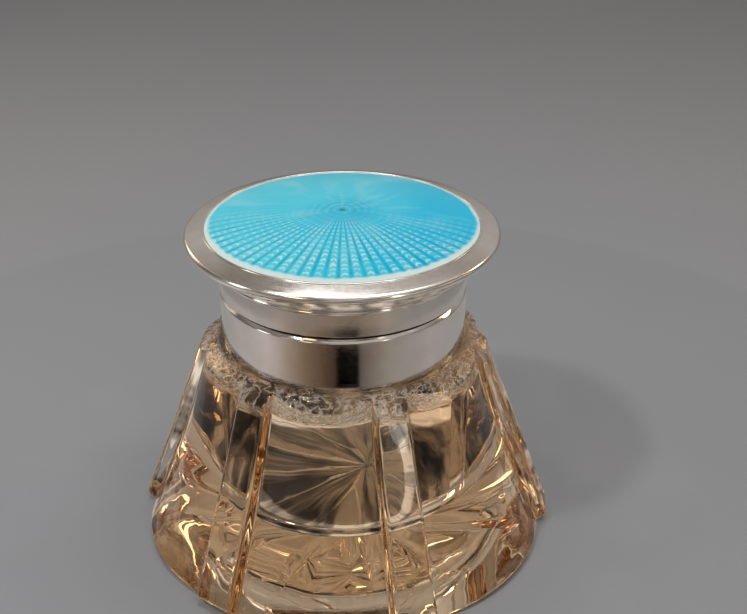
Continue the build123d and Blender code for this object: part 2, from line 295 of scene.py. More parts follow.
def shoulder_line():
    """Heights and radii of the turned shoulder that trims the flare, from low to high."""
    (low_radius, low), (crown_radius, crown), _ = SHOULDER
    slope = (low - crown) / (low_radius - crown_radius)
    outer = FLARE[0][3] + 2
    spots = [(outer, low + slope * (outer - low_radius))] + arc_through(*SHOULDER, 40)
    return np.array([height for _, height in spots]), np.array([radius for radius, _ in spots])


def crossing(heights, gap):
    """Height at which a gap between two outlines first changes sign."""
    signs = np.sign(gap)
    index = np.nonzero(signs[:-1] * signs[1:] <= 0)[0][0]
    share = gap[index] / (gap[index] - gap[index + 1])
    return heights[index] + share * (heights[index + 1] - heights[index])


def well_outline():
    """Seat, neck, mouth and well as (radius, height) points, from the shoulder to the floor."""
    top = turned_extent("glass_body")[2]
    seat_radius, seat = SHOULDER[2]
    upper = rounded([
        (seat_radius, seat, 0),
        (NECK_RADIUS, seat, 0.3),
        (NECK_RADIUS, top, 0.4),
        (MOUTH_RADIUS, top, 0.5),
        (MOUTH_RADIUS, seat, 1.6),
        (*WELL_TOP, 2.2),
        (WELL_RADIUS, WELL_FLOOR + WELL_CORNER, 0),
    ], closed=False, steps=8)
    bulge = WELL_CORNER * (1 - math.sqrt(0.5))
    corner = arc_through(
        (WELL_RADIUS, WELL_FLOOR + WELL_CORNER),
        (WELL_RADIUS - bulge, WELL_FLOOR + bulge),
        (WELL_RADIUS - WELL_CORNER, WELL_FLOOR),
        10,
    )
    floor = [(WELL_RADIUS - WELL_CORNER - step * 1.4, WELL_FLOOR) for step in range(1, 12)]
    outline = []
    for start, end in zip(upper, upper[1:]):
        pieces = max(1, round((end - start).length / 1.5))
        outline.extend(tuple(start.lerp(end, step / pieces)) for step in range(pieces))
    return outline[1:] + corner + floor


def glass_column(levels, x, y, shoulder_z, shoulder_r, inside):
    """One column from the foot's underside, over the outside, down into the well.

    x and y are the flare's outline at each level, all on one column.
    """
    def side(height):
        return Vector((np.interp(height, levels, x), np.interp(height, levels, y), height))

    reach = np.hypot(x, y)
    foot = min(FOOT_RADIUS, reach[0] - FOOT_STEP)
    low = crossing(levels, reach - foot - levels)
    high = crossing(levels, reach - np.interp(levels, shoulder_z, shoulder_r))
    foot_way = Vector((side(low).x, side(low).y, 0)).normalized()
    top_way = Vector((side(high).x, side(high).y, 0)).normalized()
    shoulder = []
    for step in range(1, SHOULDER_ROWS + 1):
        height = high + (SHOULDER[2][1] - high) * step / SHOULDER_ROWS
        shoulder.append(top_way * np.interp(height, shoulder_z, shoulder_r) + Vector((0, 0, height)))
    column = fillet(foot_way * (foot - 3), foot_way * foot, side(low), FOOT_ROUNDING, CORNER_STEPS)
    column += fillet(foot_way * foot, side(low), side(low + 2), FOOT_ROUNDING, CORNER_STEPS)
    start, end = low + FOOT_ROUNDING * 1.3, high - SHOULDER_ROUNDING * 1.3
    column += [side(start + (end - start) * step / SIDE_ROWS) for step in range(SIDE_ROWS + 1)]
    column += fillet(side(high - 2), side(high), shoulder[0], SHOULDER_ROUNDING, CORNER_STEPS)
    column += shoulder
    column += [top_way * radius + Vector((0, 0, height)) for radius, height in inside]
    return column


def glass_columns():
    """Columns of points round the glass body, all with the same number of points."""
    levels = np.linspace(0, FLARE[2][0], FLARE_LEVELS)
    sections = np.array([[tuple(spot) for spot in flare_section(level)] for level in levels])
    shoulder_z, shoulder_r = shoulder_line()
    inside = well_outline()
    return [
        glass_column(levels, sections[:, index, 0], sections[:, index, 1], shoulder_z, shoulder_r, inside)
        for index in range(sections.shape[1])
    ]


def star_share(radius):
    """Share of a groove's full depth and width that is left at a radius."""
    return 1 + (STAR_TIP_SHARE - 1) * radius / STAR_RADIUS if radius <= STAR_RADIUS else 0.0


def star_height(radius, across):
    """Height of the star cut above the foot's plane, a distance across from a groove's line."""
    return STAR_DEPTH * max(star_share(radius) - abs(across) / STAR_HALF_WIDTH, 0.0)


def star_rings():
    """Rings of points of the star cut, from the hub out to plain glass."""
    pitch = 2 * math.pi / STAR_POINTS
    radii = [0.35 * 1.06 ** step for step in range(74)]
    radii = [radius for radius in radii if radius < STAR_RADIUS] + [STAR_RADIUS + 0.3, STAR_RADIUS + 6]
    rings = []
    for radius in radii:
        half_width = STAR_HALF_WIDTH * max(star_share(radius), STAR_TIP_SHARE)
        edge = min(math.asin(min(half_width / radius, 1)), pitch * 0.46)
        offsets = (0, edge / 2, edge, (edge + pitch / 2) / 2)
        ring = []
        for groove in range(STAR_POINTS):
            middle = (groove + 0.5) * pitch
            for offset in offsets:
                ring.append((middle + offset, star_height(radius, radius * math.sin(offset))))
            ring.append((middle + pitch / 2, star_height(radius, radius * math.sin(pitch / 2))))
            for offset in reversed(offsets[1:]):
                ring.append((middle + pitch - offset, star_height(radius, radius * math.sin(offset))))
        rings.append([(*on_circle(radius, azimuth), height) for azimuth, height in ring])
    return rings


def zip_rings(points, inner, outer):
    """Triangles between two rings of point indices that differ in number, by azimuth."""
    def azimuth(index):
        return math.atan2(points[index][0], -points[index][1]) % (2 * math.pi)

    inner = sorted(inner, key=azimuth)
    outer = sorted(outer, key=azimuth)
    faces = []
    i = j = 0
    while i < len(inner) or j < len(outer):
        next_inner = azimuth(inner[i]) if i < len(inner) else 7.0
        next_outer = azimuth(outer[j]) if j < len(outer) else 7.0
        here, there = inner[i - 1], outer[j - 1]
        if next_inner <= next_outer:
            faces.append((here, inner[i], there))
            i += 1
        else:
            faces.append((here, outer[j], there))
            j += 1
    return faces


def add_star(points, faces, foot_ring):
    """Closes the underside with the star cut: a hub, and rings of points out to the foot's edge."""
    rings = star_rings()
    count = len(rings[0])
    hub = len(points)
    start = hub + 1
    points.append(Vector((0, 0, STAR_DEPTH)))
    for ring in rings:
        points.extend(Vector(spot) for spot in ring)
    for column in range(count):
        after = (column + 1) % count
        faces.append((hub, start + column, start + after))
        for row in range(len(rings) - 1):
            low, high = start + row * count, start + (row + 1) * count
            faces.append((low + column, high + column, high + after, low + after))
    last_ring = [start + (len(rings) - 1) * count + column for column in range(count)]
    faces.extend(zip_rings(points, last_ring, foot_ring))


def make_glass():
    """Cut-glass body as one closed surface, with faces that are a little uneven."""
    columns = glass_columns()
    rows = len(columns[0])
    points = []
    for column in columns:
        for spot in column:
            ripple = noise.noise(Vector(spot) * 0.11) + 0.4 * noise.noise(Vector(spot) * 0.3)
            lift = GLASS_RIPPLE * ripple if spot[2] > RIPPLE_FROM else 0.0
            points.append(Vector(spot) * (1 + lift / RIPPLE_REACH))
    faces = column_faces(len(columns), rows, closed=False)
    floor_middle = len(points)
    points.append(Vector((0, 0, WELL_FLOOR)))
    for index in range(len(columns)):
        here = (index + 1) * rows - 1
        there = ((index + 1) % len(columns) + 1) * rows - 1
        faces.append((here, there, floor_middle))
    add_star(points, faces, [index * rows for index in range(len(columns))])
    return mesh_object("glass_well", points, faces, sharp_degrees=40)


# ==== Silver, plaster and gilt ================================================================
GAP = 0.04                       # keeps touching surfaces from fighting in the picture


def make_cement():
    radius, bottom, top = turned_extent("neck_cement")
    neck_top = turned_extent("glass_body")[2] + GAP
    inner = NECK_RADIUS + GAP
    outline = rounded([
        (inner, bottom, 0.15), (radius - GAP, bottom, 0.15), (radius - GAP, top - GAP, 0.1),
        (RIM_MOUTH, top - GAP, 0.1), (RIM_MOUTH, neck_top, 0.1), (inner, neck_top, 0.1),
    ])
    return lathe("neck_plaster", outline, waver=0.05)


def make_collar_band():
    radius, bottom, top = turned_extent("collar_band")
    inner = radius - SHEET
    bottom += GAP
    outline = rounded([
        (inner, bottom, 0.1), (radius, bottom, 0.22), (radius, bottom + 2.4, 0),
        (radius, top - 2.4, 0), (radius, top, 0), (inner, top, 0),
    ])
    return lathe("collar_band_silver", outline, waver=0.03)


def make_rim_ring():
    radius, bottom, top = turned_extent("collar_rim_ring")
    outline = rounded([
        (RIM_MOUTH, bottom, 0.08), (radius, bottom, 0), (radius, top - RIM_BEVEL, 0.2),
        (radius - RIM_BEVEL, top, 0.12), (radius - RIM_BEVEL - 0.15, top, 0.05),
        (radius - RIM_BEVEL - 0.3, top - RIM_DISH, 0.05), (RIM_MOUTH, top - RIM_DISH, 0.1),
    ])
    return lathe("collar_rim_silver", outline, waver=0.03)


def make_skirt():
    reach, bottom, top = turned_extent("lid_skirt")
    bottom += SKIRT_LIFT
    radius = reach - BEAD_RADIUS
    inner = radius - SHEET
    bead_foot = top - 2 * BEAD_RADIUS
    bead = arc_through((radius, bead_foot), (reach, top - BEAD_RADIUS), (radius, top), 12)
    outline = rounded([(inner, top, 0), (inner, bottom, 0.08), (radius, bottom, 0.12)])
    outline += [(radius, bottom + 1.2), (radius, bead_foot - 0.8)] + bead
    return lathe("lid_skirt_silver", outline, waver=0.03)


def make_flange():
    skirt_top = turned_extent("lid_skirt")[2]
    band = turned_extent("collar_band")[0]
    bezel_radius = turned_extent("enamel_bezel")[0]
    meet = turned_extent("lid_flange")[2]
    lining = FLANGE_LINING
    outline = arc_through((band, skirt_top), FLANGE_COVE, FLANGE_UNDER, 16)
    outline += arc_through(FLANGE_UNDER, FLANGE_EDGE, FLANGE_TOP, 12)[1:]
    outline += [(FLANGE_TOP[0] - 1.3, FLANGE_TOP[1] + 0.34), (bezel_radius, meet)]
    outline += [(bezel_radius, meet - lining), (FLANGE_UNDER[0] - 2 * lining, FLANGE_UNDER[1] + lining)]
    outline += [(FLANGE_COVE[0] - lining, FLANGE_COVE[1] + lining), (band - SHEET, skirt_top)]
    return lathe("lid_flange_silver", outline, waver=0.04)


def make_bezel():
    radius, bottom, top = turned_extent("enamel_bezel")
    disc_radius = turned_extent("enamel_disc")[0]
    inner = disc_radius + GAP
    ledge = turned_extent("guilloche_plate")[1]
    outline = rounded([
        (BEZEL_LEDGE, bottom, 0), (radius, bottom, 0), (radius, top, 0.16),
        (inner, top, 0.14), (inner, ledge - GAP, 0), (BEZEL_LEDGE, ledge - GAP, 0),
    ])
    return lathe("enamel_bezel_silver", outline)


def make_liner():
    radius, bottom, top = turned_extent("lid_liner")
    sheet = LINER_SHEET
    inside = dome(top - sheet, LINER_WALL, LINER_SHOULDER, 16)
    outside = dome(top, LINER_WALL + sheet, LINER_SHOULDER + sheet, 16)
    outline = [(radius - GAP, bottom), (LINER_WALL + 0.5, bottom), (LINER_WALL + 0.14, bottom + 0.12)]
    outline += [(LINER_WALL, bottom + 0.5), (LINER_WALL, LINER_SHOULDER - 1.2)]
    outline += fillet((LINER_WALL, LINER_SHOULDER - 1.2), inside[-1], inside[-2], 1.0, 6)
    outline += inside[-2::-1] + outside
    outline += [(LINER_WALL + sheet, bottom + sheet), (radius - GAP, bottom + sheet)]
    return lathe("lid_liner_gilt", outline, waver=0.03)


def make_locating_ring():
    radius, bottom, top = turned_extent("locating_ring")
    inner = LINER_WALL
    outline = rounded([
        (inner, bottom, 0.22), (radius, bottom, 0.22), (radius, top - GAP, 0.05), (inner, top - GAP, 0.05),
    ])
    return lathe("locating_ring_silver", outline)


# ==== Engine-turned plate and enamel ==========================================================
PLATE_COLUMNS = RAY_COUNT * 10
PLATE_ROWS = 180


def zigzag(turns):
    """Triangle wave between -1 and 1."""
    return 4 * abs(turns % 1.0 - 0.5) - 1


def engraving(radius, azimuth):
    """Depth of the engine turning: fluted rays, crossed by rings whose line zigzags ray by ray."""
    zig = zigzag(azimuth * RAY_COUNT / (2 * math.pi))
    swing = WAVE_SWING * min(1.0, radius / 9)
    share = ((radius + swing * zig) / WAVE_PITCH) % 1.0
    step = share / WAVE_RAMP if share < WAVE_RAMP else (1 - share) / (1 - WAVE_RAMP)
    fade = min(1.0, radius / 2.5) * max(0.0, min(1.0, (PLAIN_RIM - radius) / 0.5))
    flute = fade * RAY_SLOPE * (1 + zig) / 2 * math.pi * radius / RAY_COUNT
    return -WAVE_DEPTH * fade * step - flute


def make_plate():
    """Silver disc with the engine turning cut in its domed top as real facets."""
    radius, bottom, top = turned_extent("guilloche_plate")
    edge_top = ENAMEL_EDGE_HEIGHT - ENAMEL_THICKNESS
    crown = dome(top, radius, edge_top, PLATE_ROWS)
    base = dome(top - SHEET, radius, bottom, 12)
    points = []
    for column in range(PLATE_COLUMNS):
        azimuth = 2 * math.pi * column / PLATE_COLUMNS
        for out, height in crown:
            points.append((*on_circle(out, azimuth), height + GAP + engraving(out, azimuth)))
        points.extend((*on_circle(out, azimuth), height) for out, height in reversed(base))
    faces = column_faces(PLATE_COLUMNS, len(crown) + len(base), closed=False)
    return mesh_object("guilloche_silver", points, faces, sharp_degrees=60)


def make_enamel():
    radius, bottom, top = turned_extent("enamel_disc")
    upper = dome(top, radius, ENAMEL_EDGE_HEIGHT, 48)
    lower = dome(top - ENAMEL_THICKNESS, radius, bottom, 24)
    edge = fillet(upper[-2], upper[-1], lower[-1], 0.16, 5)
    outline = upper[:-1] + [tuple(spot) for spot in edge] + lower[::-1]
    return lathe("enamel_glass", outline, segments=384)


# ==== Hinge ===================================================================================
TUBE_SEGMENTS = 64
KNUCKLE_BORE = 0.65
KNUCKLE_ROUNDING = 0.14
PIN_RADIUS = 0.6


def turned_along_x(name, centre, outline, closed=True):
    """Piece turned about the line along X through a centre, from (along, out) points."""
    points = []
    for column in range(TUBE_SEGMENTS):
        angle = 2 * math.pi * column / TUBE_SEGMENTS
        for along, out in outline:
            points.append((along, centre.y + out * math.cos(angle), centre.z + out * math.sin(angle)))
    return mesh_object(name, points, column_faces(TUBE_SEGMENTS, len(outline), closed))


def make_knuckle(node):
    """Tube with rounded ends, as long and thick as a node."""
    low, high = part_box(node)
    radius = (high.z - low.z) / 2 / MM
    start, end = low.x / MM, high.x / MM
    outline = rounded([
        (start, radius, KNUCKLE_ROUNDING), (end, radius, KNUCKLE_ROUNDING),
        (end, KNUCKLE_BORE, KNUCKLE_ROUNDING / 2), (start, KNUCKLE_BORE, KNUCKLE_ROUNDING / 2),
    ], steps=6)
    return turned_along_x(node + "_silver", (low + high) / 2 / MM, outline)


def make_pin():
    """Hinge pin with a peened, domed head at each end."""
    low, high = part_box("hinge_pin")
    head = (high.z - low.z) / 2 / MM
    end = high.x / MM
    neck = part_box("hinge_knuckle_right")[1].x / MM
    half = [(neck - 0.3, PIN_RADIUS), (neck + 0.02, PIN_RADIUS), (neck + 0.02, head * 0.9)]
    half += fillet((neck + 0.02, head), (neck + 0.15, head), (end, head * 0.7), 0.12, 4)
    half += fillet((neck + 0.2, head), (end, head * 0.72), (end, 0), 0.3, 5)
    half += [(end, 0)]
    outline = [(-along, out) for along, out in reversed([tuple(spot) for spot in half])]
    outline += [tuple(spot) for spot in half]
    return turned_along_x("hinge_pin_silver", (low + high) / 2 / MM, outline, closed=False)


def soften(node, width):
    """Small bevels on the edges of a CAD node that stays in view."""
    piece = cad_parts[node]
    bevel = piece.modifiers.new("soft_edges", "BEVEL")
    bevel.width = width * MM
    bevel.segments = 3
    bevel.limit_method = "ANGLE"
    bevel.angle_limit = math.radians(40)
    return piece


# ==== Materials ===============================================================================
def add_node(tree, kind, inputs=None, **settings):
    """Shader node of a kind; inputs hold values or the sockets to link."""
    made = tree.nodes.new("ShaderNode" + kind)
    for name, value in settings.items():
        setattr(made, name, value)
    for name, value in (inputs or {}).items():
        if isinstance(value, bpy.types.NodeSocket):
            tree.links.new(value, made.inputs[name])
        else:
            made.inputs[name].default_value = value
    return made


def math_node(tree, operation, first, second=0.0):
    return add_node(tree, "Math", {0: first, 1: second}, operation=operation).outputs[0]


def new_material(name):
    material = bpy.data.materials.new(name)
    material.use_nodes = True
    tree = material.node_tree
    return material, tree, tree.nodes["Principled BSDF"]


def object_place(tree):
    return add_node(tree, "TexCoord").outputs["Object"]


def cloud(tree, place, scale, detail=3.0, roughness=0.55):
    """Noise value between 0 and 1 at a scale in features for each metre."""
    made = add_node(
        tree, "TexNoise", {"Vector": place, "Scale": scale, "Detail": detail, "Roughness": roughness}
    )
    return made.outputs["Fac"]


def between(tree, value, low, high, out_low, out_high):
    """Value remapped from one range to another, smoothly clamped."""
    made = add_node(
        tree, "MapRange",
        {"Value": value, "From Min": low, "From Max": high, "To Min": out_low, "To Max": out_high},
        interpolation_type="SMOOTHSTEP",
    )
    return made.outputs["Result"]


def blend_colours(tree, share, first, second):
    made = add_node(tree, "Mix", {0: share, 6: first, 7: second}, data_type="RGBA")
    return made.outputs[2]


def bump(tree, height, strength, distance, normal=None):
    """Normal bent by a height map, on top of another bump's normal if one is given."""
    inputs = {"Strength": strength, "Distance": distance, "Height": height}
    if normal:
        inputs["Normal"] = normal
    return add_node(tree, "Bump", inputs).outputs[0]


def axis_distance(tree, x, y):
    squares = math_node(tree, "ADD", math_node(tree, "MULTIPLY", x, x), math_node(tree, "MULTIPLY", y, y))
    return math_node(tree, "SQRT", squares)


def azimuth_share(tree, x, y):
    """Azimuth as a share of a full turn, 0.5 at the front."""
    turn = math_node(tree, "ARCTAN2", x, math_node(tree, "MULTIPLY", y, -1.0))
    return math_node(tree, "ADD", math_node(tree, "DIVIDE", turn, 2 * math.pi), 0.5)


def turned_place(tree, around, along):
    """Coordinates that stretch a texture round the axis, as polishing on a lathe does."""
    x, y, z = add_node(tree, "SeparateXYZ", {0: object_place(tree)}).outputs
    radius = axis_distance(tree, x, y)
    safe = math_node(tree, "MAXIMUM", radius, 1e-5)
    profile = math_node(tree, "MULTIPLY", math_node(tree, "ADD", radius, z), along)
    unit_x = math_node(tree, "MULTIPLY", math_node(tree, "DIVIDE", x, safe), around)
    unit_y = math_node(tree, "MULTIPLY", math_node(tree, "DIVIDE", y, safe), around)
    return add_node(tree, "CombineXYZ", {0: unit_x, 1: unit_y, 2: profile}).outputs[0]


def metal(name, clean, worn, low_rough, high_rough, brushing):
    """Polished metal with lathe-wise hairlines, handling marks and uneven tone."""
    material, tree, shader = new_material(name)
    place = object_place(tree)
    hairlines = cloud(tree, turned_place(tree, 5.0, 5200.0), 1.0, 2.0, 0.7)
    patches = cloud(tree, place, 120.0, 4.0, 0.6)
    specks = cloud(tree, place, 1400.0, 3.0, 0.65)
    tone = between(tree, patches, 0.35, 0.75, 0.0, 1.0)
    shader.inputs["Metallic"].default_value = 1.0
    tree.links.new(blend_colours(tree, tone, (*clean, 1), (*worn, 1)), shader.inputs["Base Color"])
    mixed = math_node(tree, "MULTIPLY", math_node(tree, "ADD", hairlines, specks), 0.5)
    tree.links.new(between(tree, mixed, 0.3, 0.7, low_rough, high_rough), shader.inputs["Roughness"])
    fine = bump(tree, hairlines, brushing, 1.5e-6)
    dents = bump(tree, cloud(tree, place, 260.0, 2.0), 0.15, 1.2e-5, fine)
    tree.links.new(dents, shader.inputs["Normal"])
    return material


PLASTER_CLEAN = (0.86, 0.74, 0.58, 1)
PLASTER_STAIN = (0.18, 0.11, 0.07, 1)


def plaster():
    """Old plaster of Paris with brown ink stains."""
    material, tree, shader = new_material("plaster")
    place = object_place(tree)
    grain = cloud(tree, place, 900.0, 6.0, 0.7)
    stain = between(tree, cloud(tree, place, 420.0, 5.0, 0.7), 0.48, 0.68, 0.0, 1.0)
    tree.links.new(blend_colours(tree, stain, PLASTER_CLEAN, PLASTER_STAIN), shader.inputs["Base Color"])
    shader.inputs["Roughness"].default_value = 0.9
    tree.links.new(bump(tree, grain, 0.6, 6e-5), shader.inputs["Normal"])
    return material


GLASS_TINT = (0.99, 0.965, 0.93, 1)
GLASS_CORD = (0.99, 0.95, 0.90, 1)
GLASS_FROST = (0.98, 0.88, 0.76, 1)
GLASS_BODY = (0.98, 0.81, 0.57, 1)
GLASS_DENSITY = 30.0
CRINKLE_FROM = (35.5, 37.3)      # heights over which the shoulder's crinkle starts, and ends
CRINKLE_TO = (39.5, 40.1)


def shoulder_mask(tree, place):
    """1 on the shoulder under the collar, fading out at its lower and upper ends."""
    _, _, height = add_node(tree, "SeparateXYZ", {0: place}).outputs
    starts = between(tree, height, CRINKLE_FROM[0] * MM, CRINKLE_FROM[1] * MM, 0.0, 1.0)
    ends = between(tree, height, CRINKLE_TO[0] * MM, CRINKLE_TO[1] * MM, 1.0, 0.0)
    return math_node(tree, "MULTIPLY", starts, ends)


def cut_glass():
    """Old lead glass: warm body colour, faintly worn polish, and a crinkled, whitish shoulder."""
    material, tree, shader = new_material("cut_glass")
    place = object_place(tree)
    shader.inputs["IOR"].default_value = 1.54
    cord = cloud(tree, place, 45.0, 2.0)
    warm = blend_colours(tree, between(tree, cord, 0.3, 0.7, 0.0, 1.0), GLASS_TINT, GLASS_CORD)
    body = add_node(tree, "VolumeAbsorption", {"Color": GLASS_BODY, "Density": GLASS_DENSITY})
    tree.links.new(body.outputs[0], tree.nodes["Material Output"].inputs["Volume"])
    wear = between(tree, cloud(tree, place, 700.0, 5.0, 0.7), 0.55, 0.8, 0.0, 0.05)
    tree.links.new(wear, shader.inputs["Roughness"])
    shoulder = shoulder_mask(tree, place)
    crinkle = cloud(tree, turned_place(tree, 13.0, 1900.0), 1.0, 3.0, 0.55)
    crest = math_node(tree, "ABSOLUTE", math_node(tree, "SUBTRACT", crinkle, 0.5))
    frost = math_node(tree, "MULTIPLY", between(tree, crest, 0.0, 0.10, 0.50, 0.0), shoulder)
    tree.links.new(blend_colours(tree, frost, warm, GLASS_FROST), shader.inputs["Base Color"])
    tree.links.new(between(tree, frost, 0.0, 1.0, 1.0, 0.25), shader.inputs["Transmission Weight"])
    ripple = bump(tree, cloud(tree, place, 150.0, 2.0), 0.35, 6e-5)
    crinkled = bump(tree, math_node(tree, "MULTIPLY", crinkle, shoulder), 0.7, 6e-4, ripple)
    tree.links.new(crinkled, shader.inputs["Normal"])
    return material


ENAMEL_LEFT = (0.09, 0.78, 1.0, 1)
ENAMEL_RIGHT = (0.0, 0.63, 0.98, 1)
ENAMEL_DEEP = (0.0, 0.42, 0.70, 1)
ENAMEL_DOT = (0.01, 0.16, 0.26, 1)
# Pale colour of streaks in the enamel, and of the painted highlight on the facets at the front.
ENAMEL_STREAK_AND_HIGHLIGHT = (0.58, 0.97, 1.0, 1)
ENAMEL_PALE = (0.80, 0.99, 1.0, 1)
ENAMEL_CLEAR = 0.20              # share of the light that reaches the engine turning
EDGE_LINE = (23.6, 24.4)         # radii over which the enamel thins to its pale line
EDGE_WOBBLE = 0.8
EDGE_IN_FRONT = 0.7              # how much farther in the line starts at the front


def turning_shares(tree, place, x, y, radius):
    """How far a spot is in a valley between rays, darker at the front only, partly deeper enamel and partly
    painted shade; on a facet with a painted highlight at the front; and off a ring's line.
    """
    ray = math_node(tree, "PINGPONG", math_node(tree, "MULTIPLY", azimuth_share(tree, x, y), RAY_COUNT), 0.5)
    patchy = between(tree, cloud(tree, place, 300.0, 2.0), 0.30, 0.65, 0.45, 1.0)
    near_front = between(tree, y, 0.004, -0.008, 0.0, 1.0)
    # Valleys darker at the front only: partly deeper enamel, partly painted shade.
    valley = math_node(tree, "MULTIPLY", between(tree, ray, 0.0, 0.24, 0.8, 0.0), near_front)
    wander = math_node(tree, "MULTIPLY", cloud(tree, place, 450.0, 2.0), 1.3)
    chevron = math_node(tree, "ADD", math_node(tree, "MULTIPLY", radius, 1 / (WAVE_PITCH * MM)), ray)
    ring = math_node(tree, "PINGPONG", math_node(tree, "ADD", chevron, wander), 0.5)
    on_ray = between(tree, ray, 0.16, 0.32, 0.0, 1.0)
    ridge = math_node(tree, "MULTIPLY", on_ray, between(tree, ring, 0.24, 0.38, 0.15, 1.0))
    # Painted highlight, in patches towards the front.
    shine = math_node(tree, "MULTIPLY", between(tree, y, 0.004, -0.016, 0.0, 1.0), patchy)
    return math_node(tree, "MULTIPLY", valley, patchy), math_node(tree, "MULTIPLY", ridge, shine), ring


def enamel_edge(tree, place, y, radius):
    """Share of the pale line at the bezel, which wobbles a little and is wider in front."""
    unevenness = math_node(tree, "SUBTRACT", cloud(tree, place, 260.0), 0.5)
    wobble = math_node(tree, "MULTIPLY", unevenness, EDGE_WOBBLE * MM)
    front = between(tree, y, 0.0, -0.022, 0.0, EDGE_IN_FRONT * MM)
    reach = math_node(tree, "ADD", math_node(tree, "ADD", radius, wobble), front)
    return between(tree, reach, EDGE_LINE[0] * MM, EDGE_LINE[1] * MM, 0.0, 1.0)


def enamel_colour(tree, place):
    x, y, _ = add_node(tree, "SeparateXYZ", {0: place}).outputs
    radius = axis_distance(tree, x, y)
    valley, facet, ring = turning_shares(tree, place, x, y, radius)
    drift = math_node(tree, "ADD", cloud(tree, place, 35.0), math_node(tree, "MULTIPLY", x, 12.0))
    streaks = cloud(tree, turned_place(tree, 3.0, 90.0), 1.0, 2.0, 0.5)
    near_centre = between(tree, radius, 0.002, 0.009, 0.55, 0.0)
    centre_rings = math_node(tree, "MULTIPLY", near_centre, between(tree, ring, 0.1, 0.4, 0.0, 1.0))
    colour = blend_colours(tree, between(tree, drift, 0.3, 0.8, 0.0, 1.0), ENAMEL_LEFT, ENAMEL_RIGHT)
    layers = (
        (between(tree, streaks, 0.45, 0.75, 0.0, 0.25), ENAMEL_STREAK_AND_HIGHLIGHT),
        # Deeper enamel in the valleys, with painted shade at the front.
        (valley, ENAMEL_DEEP),
        # Painted highlight on the facets at the front.
        (facet, ENAMEL_STREAK_AND_HIGHLIGHT),
        (centre_rings, ENAMEL_DEEP),
        (between(tree, radius, 0.0003, 0.0008, 0.8, 0.0), ENAMEL_DOT),
        (enamel_edge(tree, place, y, radius), ENAMEL_PALE),
    )
    for share, layer in layers:
        colour = blend_colours(tree, share, colour, layer)
    return colour


def translucent_enamel():
    """Fired turquoise glass, uneven in depth, that thins to a pale line at the bezel; at the front its
    colour also holds painted highlights on the facets and painted shade in the valleys.
    """
    material, tree, shader = new_material("enamel")
    place = object_place(tree)
    tree.links.new(enamel_colour(tree, place), shader.inputs["Base Color"])
    shader.inputs["Transmission Weight"].default_value = ENAMEL_CLEAR
    shader.inputs["IOR"].default_value = 1.5
    shader.inputs["Specular IOR Level"].default_value = 0.22
    wear = between(tree, cloud(tree, place, 1200.0, 4.0), 0.5, 0.8, 0.02, 0.1)
    tree.links.new(wear, shader.inputs["Roughness"])
    tree.links.new(bump(tree, cloud(tree, place, 180.0, 2.0), 0.4, 2e-5), shader.inputs["Normal"])
    return material


FLOOR_TONES = ((0.295, 0.312, 0.345, 1), (0.312, 0.330, 0.362, 1))


def floor_paper():
    """Plain paper that drifts a little between two greys."""
    material, tree, shader = new_material("floor")
    tone = between(tree, cloud(tree, object_place(tree), 3.0), 0.3, 0.7, 0.0, 1.0)
    tree.links.new(blend_colours(tree, tone, *FLOOR_TONES), shader.inputs["Base Color"])
    shader.inputs["Roughness"].default_value = 0.75
    return material


# ==== Stage, light and camera =================================================================
CAMERA_AZIMUTH = math.radians(7.5)       # right of the front
CAMERA_REACH = 0.1813                    # from the axis, along the floor
CAMERA_HEIGHT = 0.1404
CAMERA_HEADING = math.radians(5.74)
CAMERA_PITCH = math.radians(27.92)
CAMERA_LENS = 53.0


def make_camera():
    data = bpy.data.cameras.new("camera")
    data.lens = CAMERA_LENS
    data.sensor_width = 36.0
    data.clip_start = 0.01
    camera = bpy.data.objects.new("camera", data)
    camera.location = (*on_circle(CAMERA_REACH, CAMERA_AZIMUTH), CAMERA_HEIGHT)
    camera.rotation_euler = (math.pi / 2 - CAMERA_PITCH, 0, CAMERA_HEADING)
    bpy.context.scene.collection.objects.link(camera)
    bpy.context.scene.camera = camera


def make_floor():
    side = 4.0
    corners = [(-side, -side, 0), (side, -side, 0), (side, side, 0), (-side, side, 0)]
    mesh = bpy.data.meshes.new("floor")
    mesh.from_pydata(corners, [], [(0, 1, 2, 3)])
    floor = bpy.data.objects.new("floor", mesh)
    floor.location.z = -GAP * MM
    floor.data.materials.append(floor_paper())
    bpy.context.scene.collection.objects.link(floor)


def area_light(name, place, aim, width, height, power, colour=(1, 1, 1)):
    data = bpy.data.lights.new(name, "AREA")
    data.shape = "RECTANGLE"
    data.size = width
    data.size_y = height
    data.energy = power
    data.color = colour
    light = bpy.data.objects.new(name, data)
    light.location = place
    light.rotation_euler = (Vector(aim) - Vector(place)).to_track_quat("-Z", "Y").to_euler()
    light.visible_camera = False
    bpy.context.scene.collection.objects.link(light)
    return light


def floor_ring(name, reach, height=0.4):
    """Flat ring on the floor that only the silver and the glass see; returns its material's parts."""
    steps = 72
    points = []
    for step in range(steps + 1):
        azimuth = 2 * math.pi * step / steps
        points.extend((*on_circle(radius, azimuth), height * MM) for radius in reach)
    faces = [(2 * step, 2 * step + 1, 2 * step + 3, 2 * step + 2) for step in range(steps)]
    mesh = bpy.data.meshes.new(name)
    mesh.from_pydata(points, [], faces)
    material, tree, shader = new_material(name)
    shader.inputs["Roughness"].default_value = 1.0
    shader.inputs["Specular IOR Level"].default_value = 0.0
    mesh.materials.append(material)
    ring = bpy.data.objects.new(name, mesh)
    ring.visible_camera = False
    ring.visible_diffuse = False
    ring.visible_shadow = False
    bpy.context.scene.collection.objects.link(ring)
    return tree, shader


